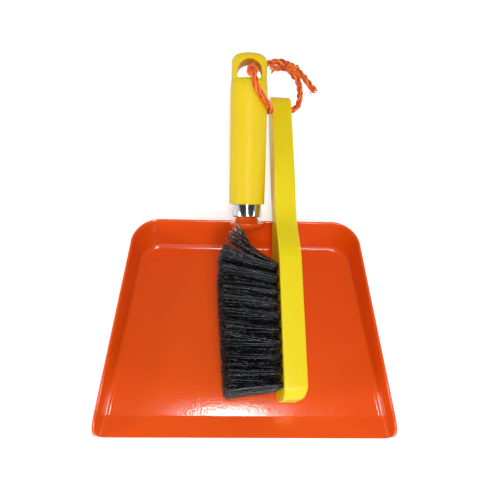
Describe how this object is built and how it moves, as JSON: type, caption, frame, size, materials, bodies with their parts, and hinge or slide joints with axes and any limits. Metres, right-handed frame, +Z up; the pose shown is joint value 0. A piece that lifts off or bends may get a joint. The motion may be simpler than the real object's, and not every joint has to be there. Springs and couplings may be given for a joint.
{
  "type": "dust pan and brush set",
  "caption": "Steel dust pan with a sleeved slanting handle and a black-bristled hand brush lying in it, tied to the handle's eye by a knotted cord.",
  "frame": {"origin": "middle of the pan's flat underside, on the surface it stands on", "axes": "+Y from the mouth towards the handle, +X to the right facing the back wall, +Z up"},
  "size_m": [0.26, 0.3428, 0.1343],
  "materials": {
    "painted_steel": "gloss orange-red paint",
    "chrome_ferrule": "polished",
    "yellow_plastic": "smooth moulded",
    "brush_plastic": "smooth moulded",
    "black_bristle": "extruded filament",
    "staple_wire": "drawn wire",
    "cord_fibre": "twisted fibre"
  },
  "bodies": {
    "pan": {"pan_tray": "painted_steel", "neck_socket": "painted_steel", "ferrule": "chrome_ferrule", "grip": "yellow_plastic", "hang_cap": "yellow_plastic"},
    "cord": {"cord_loop": "cord_fibre", "cord_knot": "cord_fibre", "cord_tail_long": "cord_fibre", "cord_tail_short": "cord_fibre"},
    "brush": {"brush_body": "brush_plastic", "tufts_01": "black_bristle", "tufts_02": "black_bristle", "tufts_03": "black_bristle", "tufts_04": "black_bristle", "tufts_05": "black_bristle", "tufts_06": "black_bristle", "tufts_07": "black_bristle", "tufts_08": "black_bristle", "tufts_09": "black_bristle", "tufts_10": "black_bristle", "staples": "staple_wire"}
  },
  "joints": [
    {"name": "cord_swing", "type": "hinge", "parent": "pan", "child": "cord", "pos_m": [0.002, 0.2242, 0.1151], "axis": [0, -0.5446, 0.8387], "range_deg": [0, 10]},
    {"name": "brush_swing", "type": "hinge", "parent": "cord", "child": "brush", "pos_m": [0.0328, 0.2181, 0.0669], "axis": [-0.9964, -0.0339, 0.0776], "range_deg": [0, 75]}
  ]
}
